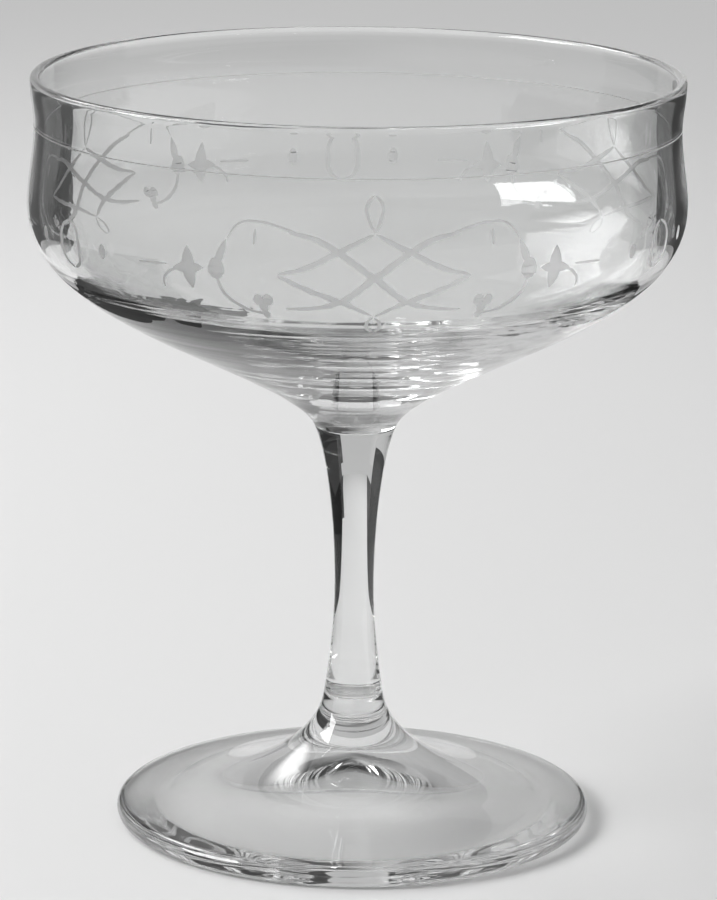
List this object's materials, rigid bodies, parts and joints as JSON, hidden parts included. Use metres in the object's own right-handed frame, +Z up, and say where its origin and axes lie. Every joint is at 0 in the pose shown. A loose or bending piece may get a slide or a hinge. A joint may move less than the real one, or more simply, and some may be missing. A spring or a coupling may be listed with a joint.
{
  "type": "sherbet glass",
  "caption": "Clear stemmed sherbet glass: wide shallow bowl with a slightly waisted rim, slender round stem and spread foot, engraved below the rim, for serving ices or drinks.",
  "frame": {"origin": "centre of the ring that the foot stands on, at table height", "axes": "+Z up along the axis of stem and bowl; +Y away from the picture's camera, +X to its right"},
  "size_m": [0.0954, 0.0954, 0.1115],
  "materials": {
    "bowl_glass": "fire-polished clear glass, with wheel-engraved ornament and a fine ring line left matt grey",
    "stem_glass": "fire-polished clear glass",
    "foot_glass": "fire-polished clear glass, with light wear on the ring that it stands on"
  },
  "bodies": {
    "root": {"bowl": "bowl_glass", "stem": "stem_glass", "foot": "foot_glass"}
  },
  "joints": []
}
